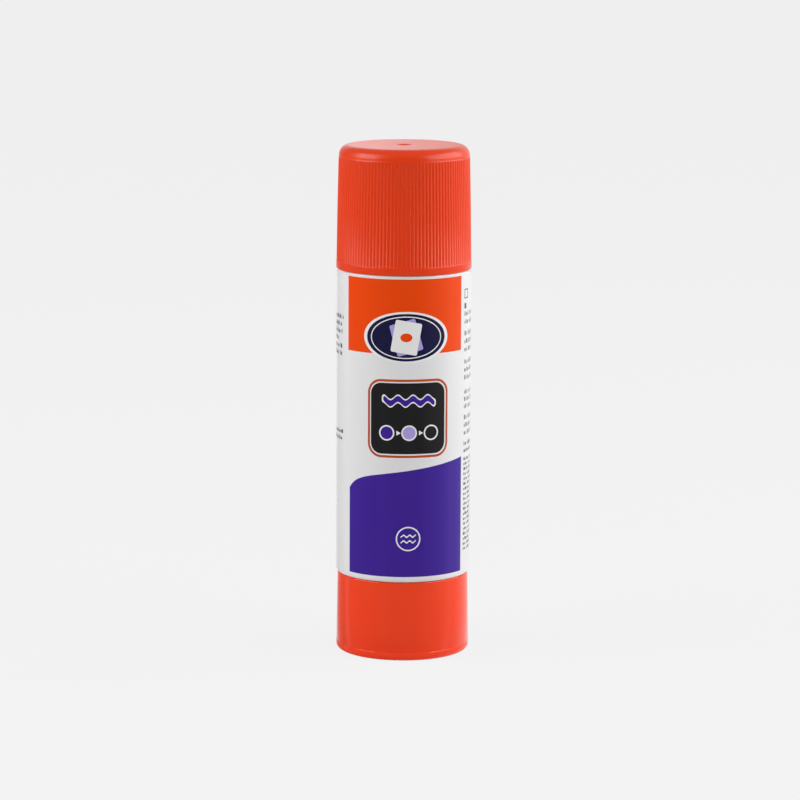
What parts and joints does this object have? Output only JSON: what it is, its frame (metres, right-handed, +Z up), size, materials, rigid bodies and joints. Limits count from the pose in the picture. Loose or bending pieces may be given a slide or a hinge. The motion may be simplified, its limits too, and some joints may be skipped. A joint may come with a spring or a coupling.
{
  "type": "glue stick",
  "caption": "Upright twist-up glue stick with a ribbed pull-off cap, a labelled barrel and a smooth turning knob that winds the glue up on a lead screw.",
  "frame": {"origin": "on the stick's axis, in the plane of the foot ring that it stands on", "axes": "+Z up the axis from the knob to the cap, -Y towards the front of the label"},
  "size_m": [0.0296, 0.0296, 0.1116],
  "materials": {
    "red_plastic": "satin moulded polypropylene, red-orange",
    "white_plastic": "satin moulded polypropylene, white",
    "label_film": "smooth printed film, white with orange and purple fields",
    "solid_glue": "waxy purple glue",
    "liner_plastic": "soft natural polyethylene"
  },
  "bodies": {
    "barrel": {"barrel": "white_plastic", "label": "label_film"},
    "knob": {"knob": "red_plastic", "lead_screw": "white_plastic"},
    "carrier": {"glue_carrier": "white_plastic", "glue_slug": "solid_glue"},
    "cap": {"cap": "red_plastic", "cap_liner": "liner_plastic"}
  },
  "joints": [
    {"name": "knob_turn", "type": "hinge", "parent": "barrel", "child": "knob", "pos_m": [0, 0, 0], "axis": [0, 0, 1], "range_deg": [0, 3780]},
    {"name": "carrier_rise", "type": "slide", "parent": "barrel", "child": "carrier", "axis": [0, 0, 1], "range_m": [0, 0.063]},
    {"name": "cap_pull", "type": "slide", "parent": "carrier", "child": "cap", "axis": [0, 0, 1], "range_m": [0, 0.04]}
  ],
  "couplings": [
    {"joint": "knob_turn", "follows": "carrier_rise", "rad_per_m": 1047.2}
  ]
}
